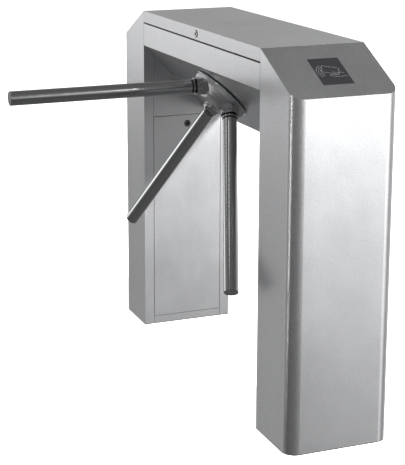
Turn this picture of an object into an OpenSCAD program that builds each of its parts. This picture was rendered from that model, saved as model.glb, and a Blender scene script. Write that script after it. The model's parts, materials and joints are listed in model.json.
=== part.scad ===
// Bridge tripod turnstile with a visitor counter.
// Millimetres, +Z up. The origin is on the floor, at the centre of the floor anchors.
// +Y runs along the cabinet. The tripod stands on the -X side, where visitors pass.
// "far" is the leg at +Y and "near" is the leg at -Y.

/* [Cabinet] */
// Length of the cabinet along the walkway
body_l = 1200; // [1100:10:1400]
// Width of the cabinet
body_w = 280; // [270:5:300]
// Height to the top of the lid
body_h = 980; // [960:10:1040]
// Length of each leg along the walkway
leg_l = 184.5; // [175:0.5:200]
// Height lost along each slanted end plate
end_drop = 97; // [80:1:110]
// Radius of the outer vertical corners
corner_r = 32; // [20:1:36]
// Sheet thickness of the casings, panels, lid and doors
sheet_t = 2; // [1.5:0.5:2]
// Height of the lid's lips
lid_h = 36; // [34:1:40]

/* [Bridge] */
// Height of the bridge's upright side below the lid's top
side_h = 102.6; // [100:0.2:106]
// Depth of the bridge below the lid's top
bridge_h = 308; // [300:1:320]

/* [Doors] */
// Width of the door opening in each leg
door_w = 221; // [210:1:226]
// Height of the sill strip under each door
sill_h = 24; // [20:1:30]
// Height of each door's top edge
door_top = 656.5; // [640:0.5:656.5]
// Gap round each door
door_gap = 1.5; // [1:0.1:2]

/* [Tripod] */
// Distance of the tripod's axis down the 45 degree face
axis_drop = 110; // [105:1:115]
// Depth behind the face where the arms' centrelines meet
apex_depth = 30; // [28:1:32]
// Distance from that point to each arm's tip
arm_reach = 618; // [500:1:620]
// Outer diameter of each arm
arm_d = 38; // [34:1:40]
// Wall of each arm's tube
arm_wall = 2; // [1.5:0.5:3]
// Radius of the hub's backing disc
hub_disc_r = 89; // [86:1:92]

/* [Drive] */
// Gear module
gear_m = 2; // [2:1:2]
// Teeth of the gear on the main shaft
drive_teeth = 45; // [43:2:45]
// Teeth of the damper's pinion
pinion_teeth = 18; // [18:1:18]
// Backlash of the gear pair at the pitch circle
backlash = 0.5; // [0.4:0.1:0.6]
// Swing of each pawl from clear to locked
pawl_swing = 15; // [12:1:16]

/* [Hidden] */
$fn = 64;
half_l = body_l / 2;
half_w = body_w / 2;
leg_in = half_l - leg_l;
slant = atan(end_drop / leg_l);
slant_len = sqrt(end_drop * end_drop + leg_l * leg_l);
side_z = body_h - side_h;
under_z = body_h - bridge_h;
fold_sum = side_z - half_w;
seam_gap = 1.5;
lid_low = body_h - lid_h + seam_gap;
panel_top = body_h - lid_h;
rest_w = 12;
side_wall = half_w - sheet_t;
fold_in = fold_sum + sheet_t * sqrt(2);

// Doors, sills and locks
door_hw = door_w / 2;
plate_hw = door_hw - door_gap;
strip_out = 8;
strip_in = 6;
door_low = sill_h + 1.2;
door_return = 12;
upper_low = door_top + door_gap;
upper_return = 15.5;
lock_z = door_top - 26.5;
lock_r = 9;
lock_rim_r = 10.5;
lock_rim = 1.5;
lock_len = 17;
plug_r = 6;
run_fit = 0.05;
cam_t = 2.5;
cam_w = 11;
door_cam_l = 38;
lid_cam_l = 24;
lid_hook = 10;
lid_lock_z = body_h - 17;
slot_w = 1.6;
slot_l = 7;
slot_depth = 1;

// Reader windows, placed along the slanted end plates
win_w = 82;
win_l = 104;
win_s = 56;
win_gap = 0.2;
win_lip = 6;

// Floor anchors
anchor_x = 180;
anchor_y = 1015;
anchor_r = 7;
cable_r = 25;
base_t = 5;
base_hw = 126;

// Tripod axis, pointing down and away from the bridge
tri_x = -half_w + axis_drop * cos(45);
tri_z = side_z - axis_drop * sin(45);
arm_r = arm_d / 2;
arm_angles = [0, 120, 240];
disc_back = 3;
disc_t = 4;
hub_back = disc_back + disc_t;
hub_top = 48;
seat_t = 82;
socket_l = 21;
socket_hw = 22;
socket_flat = 14;
neck_l = 13;
arm_start = seat_t + socket_l + neck_l;
cap_t = 4;
spigot_gap = 0.1;
spigot_in = 10;
spigot_out = 75;
hub_bulge = 10;

// Studs that carry the mechanism plate
stud_x = [-90, 75];
stud_y = 108;
stud_r = 4;

// Stack of the mechanism behind the face, as depths along the axis
plate_d = 10;
flange_d = 18;
house_d = 82;
bearing_b = 15;
bearing_r = 26;
shaft_r = 12.5;
carrier_d = 79;
carrier_t = 5;
gear_d = 86;
gear_b = 8;
index_d = 98;
index_b = 8;
index_r = 50;
lug_r = 62;
encoder_d = 118.5;
encoder_t = 1.5;
encoder_r = 45;
nut_d = 124;
nut_b = 8;
shaft_end = 134;

// Pawls and solenoids
pivot_x = 36;
pivot_y = 84;
pivot_r = 5;
pawl_tip = [-50.5, -30];
tail_x = 25;
tail_r = 2.5;
fork_d = 110;
fork_t = 4;
fork_gap = 0.4;
plunger_r = 5;
plunger_d = 112;
coil_y = 105;
coil_l = 50;
coil_t = 26;

// Damper
pinion_x = gear_m * (drive_teeth + pinion_teeth) / 2;
damper_r = 25;
damper_shaft_r = 4;

// Hinges of the lid
hinge_x = half_w + 4;
hinge_z = panel_top + seam_gap / 2;
hinge_hl = 30;
hinge_y = [-300, 0, 300];
knuckle_r = 3.5;
knuckle_hl = 10;
knuckle_gap = 0.3;
pin_r = 2;
leaf_t = 1.5;
leaf_off = 4;

// Lid, and the round blanking disc in its top
lid_hl = leg_in - 0.5;
disc_r = 62;
disc_y = 15;

// Service trays and what stands on them
tray_x = -40;
tray_y = 200;
tray_l = 180;
tray_z = 800;
tray_top = tray_z + sheet_t;

steel = "#c3c5c8";
steel_dark = "#8b8e92";
chrome = "#d9dbde";
casting = "#a7a9ac";
gear_steel = "#8f9296";
pawl_steel = "#7d8084";
alloy = "#9ea2a6";
zinc = "#b7b58f";
black = "#1b1c1f";
damper_black = "#25272b";
coil_black = "#30343a";
board_green = "#1d5a3a";
terminal_green = "#3b7d3f";
duct_grey = "#a9acb0";

// ---------- places ----------

// side 1 is the far leg, side -1 the near leg
module at_leg(side) {
    if (side > 0) children();
    else mirror([0, 1, 0]) children();
}

// Y runs down the slanted end plate from its top edge, Z is its outward normal
module on_slant() {
    translate([0, leg_in, body_h]) rotate([-slant, 0, 0]) children();
}

// Z is the tripod's axis pointing out, X points up the 45 degree face
module on_axis() {
    translate([tri_x, 0, tri_z]) rotate([0, -135, 0]) children();
}

// Z runs along an arm from the point where the centrelines meet
module on_arm(angle) {
    on_axis() translate([0, 0, -apex_depth]) rotate([0, 0, angle]) rotate([0, 45, 0]) children();
}

// Turns a pair of mechanism pieces into left (+Y) and right (-Y) ones
module on_hand(hand) {
    on_axis() mirror([0, hand > 0 ? 0 : 1, 0]) children();
}

// Cylinder between two depths behind the 45 degree face
module disc_between(r, from, to) {
    translate([0, 0, -to]) cylinder(r = r, h = to - from);
}

// ---------- legs ----------

module leg_outline(inset, front) {
    translate([-half_w + inset, leg_in + front])
        square([body_w - 2 * inset, leg_l - corner_r - front]);
    translate([-half_w + corner_r, leg_in + front])
        square([body_w - 2 * corner_r, leg_l - inset - front]);
    for (s = [-1, 1])
        translate([s * (half_w - corner_r), half_l - corner_r]) circle(r = corner_r - inset);
}

module leg_casing(side) {
    over = 5;
    tall = body_h + 2 * over;
    color(steel) at_leg(side) difference() {
        linear_extrude(body_h) leg_outline(0, 0);
        translate([0, 0, -over]) linear_extrude(tall) leg_outline(sheet_t, sheet_t);
        translate([-door_hw, leg_in - over, -over]) cube([door_w, sheet_t + 2 * over, tall]);
        on_slant() translate([-body_w, -body_w / 2, -sheet_t]) cube([2 * body_w, 2 * body_w, body_w]);
    }
}

module end_plate(side) {
    over = 20;
    color(steel) at_leg(side) difference() {
        intersection() {
            linear_extrude(body_h + sheet_t) leg_outline(0, 0);
            on_slant() translate([-body_w, -over, -sheet_t])
                cube([2 * body_w, slant_len + 2 * over, sheet_t]);
        }
        on_slant() translate([-win_w / 2 - win_gap, win_s - win_gap, -2 * sheet_t])
            cube([win_w + 2 * win_gap, win_l + 2 * win_gap, 4 * sheet_t]);
    }
}

module reader_window(side) {
    lip_t = 1.5;
    color(black) at_leg(side) on_slant() {
        translate([-win_w / 2, win_s, -sheet_t]) cube([win_w, win_l, sheet_t]);
        translate([-win_w / 2 - win_lip, win_s - win_lip, -sheet_t - lip_t])
            cube([win_w + 2 * win_lip, win_l + 2 * win_lip, lip_t]);
    }
}

module reader_module(side) {
    box = [70, 92, 14];
    rim = 2;
    recess = 1;
    gland_r = 6;
    gland_l = 8;
    top = -sheet_t - 2;
    start = win_s + (win_l - box[1]) / 2;
    at_leg(side) on_slant() {
        difference() {
            translate([-box[0] / 2, start, top - box[2]]) cube(box);
            translate([-box[0] / 2 + rim, start + rim, top - recess])
                cube([box[0] - 2 * rim, box[1] - 2 * rim, 2 * recess]);
        }
        translate([0, start + 14, top - box[2] - gland_l]) cylinder(r = gland_r, h = gland_l);
    }
}

// Plan of a fixed plate beside the door, with the strips that carry it behind the casing's front wall
module plate_plan() {
    translate([-plate_hw, leg_in]) square([2 * plate_hw, sheet_t]);
    for (s = [-1, 1])
        translate([s * (plate_hw + (door_gap + strip_out - strip_in) / 2), leg_in + sheet_t * 3 / 2])
            square([door_gap + strip_out + strip_in, sheet_t], center = true);
}

module upper_plate(side) {
    pass_r = 50;
    pass_x = 10;
    pass_z = 860;
    top = body_h - 5;
    color(steel) at_leg(side) difference() {
        union() {
            translate([0, 0, upper_low]) linear_extrude(top - upper_low) plate_plan();
            translate([-plate_hw, leg_in, upper_low]) cube([2 * plate_hw, upper_return, sheet_t]);
        }
        translate([pass_x, leg_in + 2 * sheet_t, pass_z]) rotate([90, 0, 0])
            cylinder(r = pass_r, h = 3 * sheet_t);
    }
}

module sill(side) {
    lip = 11;
    at_leg(side) {
        linear_extrude(sill_h) plate_plan();
        translate([-plate_hw, leg_in, sill_h - sheet_t]) cube([2 * plate_hw, lip, sheet_t]);
    }
}

module base_plate(side) {
    front = 8;
    length = leg_l - 20;
    over = 1;
    hole_h = base_t + 2 * over;
    at_leg(side) difference() {
        translate([-base_hw, leg_in + front, 0]) cube([2 * base_hw, length, base_t]);
        for (s = [-1, 1])
            translate([s * anchor_x / 2, anchor_y / 2, -over]) cylinder(r = anchor_r, h = hole_h);
        translate([0, anchor_y / 2, -over]) cylinder(r = cable_r, h = hole_h);
    }
}

// ---------- doors ----------

module door(side) {
    h = door_top - door_low;
    depth = sheet_t + door_return;
    tab_w = 30;
    tab_x = 70;
    tab_drop = 16;
    color(steel) at_leg(side) {
        difference() {
            translate([-plate_hw, leg_in, door_low]) cube([2 * plate_hw, depth, h]);
            translate([-plate_hw + sheet_t, leg_in + sheet_t, door_low + sheet_t])
                cube([2 * (plate_hw - sheet_t), 2 * door_return, h - 2 * sheet_t]);
            translate([0, leg_in + 2 * sheet_t, lock_z]) rotate([90, 0, 0])
                cylinder(r = lock_r, h = 3 * sheet_t);
        }
        for (s = [-1, 1]) translate([s * tab_x - tab_w / 2, leg_in + depth, sill_h - tab_drop])
            cube([tab_w, sheet_t, door_low - sill_h + tab_drop + tab_w]);
    }
}

// A round lock: its face is at Z = 0, and it goes back along -Z
module lock_barrel() {
    chamfer = 0.8;
    color(chrome) difference() {
        union() {
            translate([0, 0, -lock_len]) cylinder(r = lock_r, h = lock_len);
            cylinder(r1 = lock_rim_r, r2 = lock_rim_r - chamfer, h = lock_rim);
        }
        translate([0, 0, -lock_len - 1]) cylinder(r = plug_r + run_fit, h = lock_len + lock_rim + 2);
    }
}

// The lock's turning plug, with a cam along X behind the barrel and a hook at the cam's tip
module lock_plug(cam_l, tip_hook) {
    back = -lock_len - 0.5 - cam_t;
    face = lock_rim - 0.4;
    color(steel_dark) {
        difference() {
            translate([0, 0, back]) cylinder(r = plug_r, h = face - back);
            translate([-slot_w / 2, -slot_l / 2, face - slot_depth]) cube([slot_w, slot_l, 2 * slot_depth]);
        }
        translate([0, -cam_w / 2, back]) cube([cam_l, cam_w, cam_t]);
        if (tip_hook > 0) translate([cam_l - cam_t, -cam_w / 2, back]) cube([cam_t, cam_w, tip_hook]);
    }
}

module at_door_lock(side) {
    at_leg(side) translate([0, leg_in, lock_z]) rotate([90, 0, 0]) children();
}

module door_lock(side) {
    at_door_lock(side) lock_barrel();
}

module door_lock_plug(side) {
    at_door_lock(side) lock_plug(door_cam_l, 0);
}

// ---------- bridge ----------

module bridge_panel() {
    notch = [-18, -3.5];
    hole_r = 38;
    hub_over = 10;
    color(steel) difference() {
        translate([0, leg_in, 0]) rotate([90, 0, 0]) linear_extrude(2 * leg_in) polygon([
            [-half_w, panel_top], [-half_w, side_z], [fold_sum - under_z, under_z],
            [half_w, under_z], [half_w, under_z + sheet_t],
            [fold_in - under_z - sheet_t, under_z + sheet_t],
            [-side_wall, fold_in + side_wall], [-side_wall, panel_top - sheet_t],
            [-side_wall + rest_w, panel_top - sheet_t], [-side_wall + rest_w, panel_top]
        ]);
        on_axis() translate([0, 0, -hub_over]) cylinder(r = hole_r, h = 2 * hub_over);
        translate([-side_wall, notch[0], panel_top - 2 * sheet_t])
            cube([2 * rest_w, notch[1] - notch[0], 4 * sheet_t]);
    }
}

module bridge_rear_panel() {
    low = under_z + sheet_t;
    color(steel) translate([0, leg_in, 0]) rotate([90, 0, 0]) linear_extrude(2 * leg_in) polygon([
        [half_w, low], [half_w, panel_top], [side_wall - rest_w, panel_top],
        [side_wall - rest_w, panel_top - sheet_t], [side_wall, panel_top - sheet_t],
        [side_wall, low + sheet_t], [side_wall - rest_w, low + sheet_t], [side_wall - rest_w, low]
    ]);
}

module hinge_knuckle(y, length) {
    difference() {
        translate([hinge_x, y + length, hinge_z]) rotate([90, 0, 0]) cylinder(r = knuckle_r, h = length);
        translate([hinge_x, y + length + 1, hinge_z]) rotate([90, 0, 0])
            cylinder(r = pin_r + run_fit, h = length + 2);
    }
}

module lid_hinge_fixed() {
    leaf_h = 20;
    step_t = leaf_t + 1;
    step_h = 3.5;
    side_l = hinge_hl - knuckle_hl;
    color(steel_dark) for (y = hinge_y) {
        translate([half_w, y - hinge_hl, hinge_z - leaf_off - leaf_h]) cube([leaf_t, 2 * hinge_hl, leaf_h]);
        for (y0 = [y - hinge_hl, y + knuckle_hl]) {
            difference() {
                translate([half_w, y0, hinge_z - leaf_off]) cube([step_t, side_l, step_h]);
                translate([hinge_x, y0 + hinge_hl, hinge_z]) rotate([90, 0, 0])
                    cylinder(r = pin_r + run_fit, h = 2 * hinge_hl);
            }
            hinge_knuckle(y0, side_l);
        }
    }
}

module lid_hinge_moving() {
    leaf_h = 18;
    step_t = leaf_t + 0.4;
    step_z = 0.7;
    step_h = 3.5;
    hl = knuckle_hl - knuckle_gap;
    color(steel_dark) for (y = hinge_y) {
        translate([half_w, y - hinge_hl, hinge_z + leaf_off]) cube([leaf_t, 2 * hinge_hl, leaf_h]);
        translate([half_w, y - hl, hinge_z + step_z]) cube([step_t, 2 * hl, step_h]);
        hinge_knuckle(y - hl, 2 * hl);
    }
}

module lid_hinge_pins() {
    color(chrome) for (y = hinge_y)
        translate([hinge_x, y + hinge_hl, hinge_z]) rotate([90, 0, 0])
            cylinder(r = pin_r, h = 2 * hinge_hl);
}

// ---------- lid ----------

module lid() {
    end_lip = 14;
    color(steel) difference() {
        translate([-half_w, -lid_hl, lid_low]) cube([body_w, 2 * lid_hl, body_h - lid_low]);
        translate([-side_wall, -lid_hl + sheet_t, lid_low - 1])
            cube([2 * side_wall, 2 * (lid_hl - sheet_t), body_h - lid_low + 1 - sheet_t]);
        translate([-side_wall, -lid_hl - 1, lid_low - 1])
            cube([2 * side_wall, 2 * lid_hl + 2, lid_h - end_lip + 1]);
        translate([0, disc_y, body_h - 2 * sheet_t]) cylinder(r = disc_r, h = 3 * sheet_t);
        translate([-half_w - 1, 0, lid_lock_z]) rotate([0, 90, 0]) cylinder(r = lock_r, h = 2 * sheet_t);
    }
}

module lid_disc() {
    flange = 6;
    flange_t = 1.5;
    fit = 0.3;
    color(steel_dark) translate([0, disc_y, body_h - sheet_t]) {
        cylinder(r = disc_r - fit, h = sheet_t);
        translate([0, 0, -flange_t]) cylinder(r = disc_r + flange, h = flange_t);
    }
}

module at_lid_lock() {
    translate([-half_w, 0, lid_lock_z]) rotate([90, 0, -90]) children();
}

module lid_lock() {
    at_lid_lock() lock_barrel();
}

module lid_lock_plug() {
    at_lid_lock() lock_plug(lid_cam_l, lid_hook);
}

// ---------- electronics ----------

module service_tray(side) {
    lip_h = 40;
    at_leg(side) {
        translate([tray_x, tray_y, tray_z]) cube([side_wall - tray_x, tray_l, sheet_t]);
        translate([side_wall - sheet_t, tray_y, tray_z]) cube([sheet_t, tray_l, lip_h]);
    }
}

module counter_board() {
    board = [110, 150, 1.6];
    board_y = -370;
    stand_h = 8;
    stand_in = 6;
    top = tray_top + stand_h + board[2];
    relays = 4;
    relay_pitch = 24;
    color(board_green) translate([0, board_y, tray_top + stand_h]) cube(board);
    color(zinc) for (x = [stand_in, board[0] - stand_in], y = [stand_in, board[1] - stand_in])
        translate([x, board_y + y, tray_top]) cylinder(r = 3, h = stand_h);
    color(black) {
        translate([20, board_y + 40, top]) cube([24, 24, 3]);
        translate([60, board_y + 30, top]) cube([14, 36, 4]);
        for (i = [0:relays - 1]) translate([84, board_y + 20 + relay_pitch * i, top]) cube([18, 16, 14]);
    }
    color(terminal_green) translate([8, board_y + 102, top]) cube([12, 34, 11]);
}

module power_supply() {
    size = [98, 130, 38];
    place = [20, 225, tray_top];
    step_w = 16;
    step_z = 16;
    slots = 8;
    slot_pitch = 14;
    block_in = 14;
    color(steel_dark) translate(place) difference() {
        cube(size);
        translate([size[0] - step_w, -2, step_z]) cube([step_w + 4, size[1] + 4, size[2]]);
        for (i = [0:slots - 1]) translate([12, 15 + slot_pitch * i, size[2] - 1]) cube([50, 6, 2]);
    }
    color(black) translate(place) translate([size[0] - block_in, 10, step_z]) cube([12, 110, 10]);
}

module cable_duct() {
    w = 30;
    h = 25;
    wall = 1.5;
    length = 760;
    wall_gap = 6;
    duct_z = 700;
    color(duct_grey) translate([side_wall - w - wall_gap, -length / 2, duct_z]) difference() {
        cube([w, length, h]);
        translate([wall, -1, wall]) cube([w - 2 * wall, length + 2, h - 2 * wall]);
    }
}

// ---------- mechanism on the cabinet ----------

module mech_plate() {
    low = -100;
    high = 85;
    hw = 118;
    bore_r = 40;
    color(steel_dark) on_axis() difference() {
        translate([low, -hw, -plate_d]) cube([high - low, 2 * hw, plate_d - sheet_t]);
        translate([0, 0, -plate_d - 1]) cylinder(r = bore_r, h = plate_d);
        for (x = stud_x, s = [-1, 1])
            translate([x, s * stud_y, -plate_d - 1]) cylinder(r = stud_r + 0.5, h = plate_d);
    }
}

module mech_studs() {
    nut_r = 7.5;
    nut_h = 6.5;
    color(zinc) on_axis() for (x = stud_x, s = [-1, 1]) translate([x, s * stud_y, 0]) {
        disc_between(stud_r, sheet_t, plate_d + 10);
        translate([0, 0, -plate_d - nut_h]) cylinder(r = nut_r, h = nut_h, $fn = 6);
    }
}

module bearing_housing() {
    flange_r = 56;
    boss_r = 36;
    land_r = 20;
    color(alloy) on_axis() difference() {
        union() {
            disc_between(flange_r, plate_d, flange_d);
            disc_between(boss_r, flange_d - 1, house_d);
        }
        disc_between(land_r, plate_d - 1, house_d + 1);
        disc_between(bearing_r, plate_d - 1, plate_d + bearing_b);
        disc_between(bearing_r, house_d - bearing_b, house_d + 1);
    }
}

// Ball bearing between two depths: outer ring, inner ring and balls
module ball_bearing(from) {
    ring = 3.6;
    mid = (bearing_r + shaft_r) / 2;
    ball_r = 3;
    balls = 9;
    difference() {
        disc_between(bearing_r, from, from + bearing_b);
        disc_between(bearing_r - ring, from - 1, from + bearing_b + 1);
    }
    difference() {
        disc_between(shaft_r + ring, from, from + bearing_b);
        disc_between(shaft_r + run_fit, from - 1, from + bearing_b + 1);
    }
    for (i = [0:balls - 1])
        rotate([0, 0, i * 360 / balls]) translate([mid, 0, -from - bearing_b / 2]) sphere(r = ball_r);
}

module shaft_bearings() {
    color(chrome) on_axis() {
        ball_bearing(plate_d);
        ball_bearing(house_d - bearing_b);
    }
}

module carrier_plate() {
    low = -95;
    high = 105;
    hw = 160;
    bore_r = 37;
    shaft_pass_r = 6;
    back = carrier_d + carrier_t;
    color(steel_dark) on_axis() difference() {
        translate([low, -hw, -back]) cube([high - low, 2 * hw, carrier_t]);
        disc_between(bore_r, carrier_d - 1, back + 1);
        translate([-pinion_x, 0, 0]) disc_between(shaft_pass_r, carrier_d - 1, back + 1);
    }
}

module carrier_posts() {
    post_x = [-80, 65];
    post_y = 88;
    post_r = 6;
    color(zinc) on_axis() for (x = post_x, s = [-1, 1])
        translate([x, s * post_y, 0]) disc_between(post_r, plate_d, carrier_d);
}

module pawl_pivots() {
    top = index_d + index_b + 4;
    collar_r = 8;
    air = 0.5;
    color(chrome) for (hand = [-1, 1]) on_hand(hand) translate([pivot_x, pivot_y, 0]) {
        disc_between(pivot_r, carrier_d + carrier_t, top);
        disc_between(collar_r, carrier_d + carrier_t, index_d - air);
        disc_between(collar_r, index_d + index_b + air, top);
    }
}

module solenoids() {
    size = [30, coil_l, coil_t];
    color(coil_black) for (hand = [-1, 1]) on_hand(hand) difference() {
        translate([pivot_x + tail_x - size[0] / 2, coil_y, -plunger_d - size[2] / 2]) cube(size);
        translate([pivot_x + tail_x, coil_y + coil_l - 2, -plunger_d]) rotate([90, 0, 0])
            cylinder(r = plunger_r + run_fit, h = coil_l);
    }
}

module solenoid_brackets() {
    wide = 24;
    long = 40;
    top = plunger_d - coil_t / 2;
    color(steel_dark) for (hand = [-1, 1]) on_hand(hand)
        translate([pivot_x + tail_x - wide / 2, coil_y + 5, -top])
            cube([wide, long, top - carrier_d - carrier_t]);
}

module damper_body() {
    body_l = 27;
    ear_l = 32;
    ear_hw = 8;
    ear_t = 3;
    color(damper_black) on_axis() translate([-pinion_x, 0, 0]) difference() {
        union() {
            disc_between(damper_r, carrier_d - body_l, carrier_d);
            translate([-ear_hw, -ear_l, -carrier_d]) cube([2 * ear_hw, 2 * ear_l, ear_t]);
        }
        disc_between(damper_shaft_r + run_fit, carrier_d - 20, carrier_d + 1);
    }
}

module position_sensors() {
    depth = 34;
    wide = 10;
    jaw = 8;
    air = 1.2;
    wall = 2.8;
    post = 6;
    top = encoder_d - air - wall;
    for (a = [130, 230]) on_axis() rotate([0, 0, a]) translate([encoder_r - jaw, -wide / 2, 0]) {
        color(black) difference() {
            translate([0, 0, -encoder_d - encoder_t - air - wall])
                cube([depth, wide, encoder_t + 2 * (air + wall)]);
            translate([-1, -1, -encoder_d - encoder_t - air])
                cube([jaw + 2.5, wide + 2, encoder_t + 2 * air]);
        }
        color(steel_dark) translate([depth - post, 0, -top])
            cube([post, wide, top - carrier_d - carrier_t]);
    }
}

// ---------- tripod ----------

module hub_disc() {
    edge = 1;
    color(chrome) on_axis() rotate_extrude() polygon([
        [0, disc_back], [hub_disc_r - edge, disc_back], [hub_disc_r, disc_back + edge],
        [hub_disc_r, hub_back - edge], [hub_disc_r - edge, hub_back], [0, hub_back]
    ]);
}

module hub_body() {
    foot_r = hub_disc_r - 4;
    waist = seat_t * sqrt(2) - apex_depth + hub_bulge;
    steps = 6;
    rise = hub_top - hub_back;
    top_r = waist - hub_top - 12;
    side = [for (i = [0:steps])
        let (f = i / steps)
        [foot_r - (foot_r - top_r) * (1 - cos(90 * f)) , hub_back + rise * sin(90 * f)]];
    color(casting) difference() {
        on_axis() rotate_extrude() polygon(concat([[0, hub_back]], side, [[0, hub_top]]));
        for (a = arm_angles) on_arm(a)
            translate([0, 0, seat_t]) cylinder(r = 90, h = 100);
        for (a = arm_angles) on_arm(a)
            translate([0, 0, seat_t - spigot_in - 1]) cylinder(r = arm_r - arm_wall, h = 2 * spigot_in);
    }
}

module hub_cap() {
    cap_r = 17;
    color(chrome) on_axis() rotate_extrude() polygon([
        [0, hub_top], [cap_r, hub_top], [cap_r, hub_top + 4], [cap_r - 2, hub_top + 6], [0, hub_top + 7]
    ]);
}

// Each arm's eight-sided socket block, then a neck with a clamping ring, and a spigot inside the tube
module arm_collars() {
    core_r = arm_r - arm_wall - spigot_gap;
    ring_r = arm_r + 1.5;
    ring_l = 4;
    ring_t = arm_start - (neck_l + ring_l) / 2;
    w = socket_hw;
    f = socket_flat;
    color(chrome) for (a = arm_angles) on_arm(a) {
        translate([0, 0, seat_t]) linear_extrude(socket_l)
            polygon([[w, f], [f, w], [-f, w], [-w, f], [-w, -f], [-f, -w], [f, -w], [w, -f]]);
        translate([0, 0, seat_t - spigot_in]) cylinder(r = core_r, h = spigot_in + spigot_out);
        translate([0, 0, seat_t + 1]) cylinder(r = arm_r - 1, h = arm_start - seat_t - 1);
        translate([0, 0, ring_t]) cylinder(r = ring_r, h = ring_l);
    }
}

module arm(i) {
    color(chrome) on_arm(arm_angles[i]) difference() {
        translate([0, 0, arm_start]) cylinder(r = arm_r, h = arm_reach - cap_t - arm_start);
        translate([0, 0, arm_start - 1]) cylinder(r = arm_r - arm_wall, h = arm_reach);
    }
}

module arm_end_caps() {
    edge = 1.5;
    plug_l = 22;
    core_r = arm_r - arm_wall - spigot_gap;
    color(chrome) for (a = arm_angles) on_arm(a) translate([0, 0, arm_reach - cap_t]) rotate_extrude()
        polygon([
            [0, -plug_l], [core_r, -plug_l], [core_r, 0], [arm_r, 0], [arm_r, cap_t - edge],
            [arm_r - edge, cap_t], [0, cap_t]
        ]);
}

module main_shaft() {
    head_r = 33;
    head_in = 5;
    color(chrome) on_axis() {
        translate([0, 0, -head_in]) cylinder(r = head_r, h = head_in + disc_back);
        disc_between(shaft_r, 0, shaft_end);
    }
}

module shaft_nut() {
    nut_r = 20;
    color(zinc) on_axis() difference() {
        translate([0, 0, -nut_d - nut_b]) cylinder(r = nut_r, h = nut_b, $fn = 6);
        disc_between(shaft_r, nut_d - 1, nut_d + nut_b + 1);
    }
}

module index_wheel() {
    lug_w = 18;
    color(gear_steel) on_axis() difference() {
        union() {
            disc_between(index_r, index_d, index_d + index_b);
            disc_between(21, index_d - 3, index_d + index_b + 10);
            intersection() {
                disc_between(lug_r, index_d, index_d + index_b);
                for (a = arm_angles) rotate([0, 0, a])
                    translate([0, -lug_w / 2, -index_d - index_b]) cube([lug_r + 5, lug_w, index_b]);
            }
        }
        disc_between(shaft_r, index_d - 5, index_d + index_b + 12);
    }
}

module encoder_disc() {
    slots = 24;
    color(black) on_axis() difference() {
        disc_between(encoder_r, encoder_d, encoder_d + encoder_t);
        disc_between(shaft_r, encoder_d - 1, encoder_d + encoder_t + 1);
        for (i = [0:slots - 1]) rotate([0, 0, i * 360 / slots])
            translate([encoder_r - 7, -1.5, -encoder_d - encoder_t - 1]) cube([5, 3, encoder_t + 2]);
    }
}

// ---------- gears ----------

// Polar angle of an involute at radius r on base circle rb, in degrees
function involute(rb, r) = let (a = acos(min(1, rb / r))) tan(a) * 180 / PI - a;

function tooth_flank(teeth) = let (
    pitch = gear_m * teeth / 2,
    rb = pitch * cos(20),
    outer = pitch + gear_m,
    root = pitch - 1.25 * gear_m,
    half = 90 / teeth - backlash / 4 / pitch * 180 / PI + involute(rb, pitch),
    first = max(rb, root),
    steps = 4
) concat(
    [[root, -half]],
    [for (i = [0:steps]) let (r = first + (outer - first) * i / steps) [r, -half + involute(rb, r)]]
);

function gear_points(teeth) = let (flank = tooth_flank(teeth), n = len(flank)) [
    for (i = [0:teeth - 1], k = [0:2 * n - 1])
        let (
            p = k < n ? flank[k] : [flank[2 * n - 1 - k][0], -flank[2 * n - 1 - k][1]],
            a = p[1] + i * 360 / teeth
        )
        [p[0] * cos(a), p[0] * sin(a)]
];

module drive_gear() {
    color(gear_steel) on_axis() difference() {
        union() {
            translate([0, 0, -gear_d - gear_b]) linear_extrude(gear_b) polygon(gear_points(drive_teeth));
            disc_between(20, gear_d - 3, gear_d + gear_b + 1);
        }
        disc_between(shaft_r, gear_d - 5, gear_d + gear_b + 5);
    }
}

module damper_rotor() {
    color(zinc) on_axis() translate([-pinion_x, 0, 0]) {
        translate([0, 0, -gear_d - gear_b]) linear_extrude(gear_b) polygon(gear_points(pinion_teeth));
        disc_between(damper_shaft_r, carrier_d - 18, gear_d + gear_b + 3);
    }
}

// ---------- locks of the tripod ----------

module pawl(hand) {
    bar = 12;
    hub_r = 9;
    boss = 7;
    toe = 4;
    reach = norm(pawl_tip) - toe;
    angle = atan2(pawl_tip[1], pawl_tip[0]) - pawl_swing;
    color(pawl_steel) on_hand(hand) translate([pivot_x, pivot_y, 0]) {
        translate([0, 0, -index_d - index_b]) linear_extrude(index_b) difference() {
            union() {
                circle(r = hub_r);
                rotate(angle) translate([0, -bar / 2]) square([reach, bar]);
                rotate(angle) translate([reach, 0]) circle(r = toe);
                translate([0, -bar / 2]) square([tail_x, bar]);
                translate([tail_x, 0]) circle(r = boss);
            }
            circle(r = pivot_r + run_fit);
        }
        translate([tail_x, 0, 0]) disc_between(tail_r, index_d + 2, fork_d + fork_t + 2);
    }
}

module plunger(hand) {
    throat = 7.5;
    fork_w = 16;
    fork_l = 16;
    pull_l = coil_y - pivot_y + 40;
    color(chrome) on_hand(hand) translate([pivot_x + tail_x, pivot_y, 0]) {
        difference() {
            translate([-fork_w / 2, -fork_l / 2, -fork_d - fork_t]) cube([fork_w, fork_l + 4, fork_t]);
            translate([-throat / 2 - 0.4, -tail_r - fork_gap, -fork_d - fork_t - 1])
                cube([throat, 2 * (tail_r + fork_gap), fork_t + 2]);
        }
        translate([0, pull_l, -plunger_d]) rotate([90, 0, 0]) cylinder(r = plunger_r, h = pull_l - 9);
    }
}

// ---------- the nodes ----------

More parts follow.
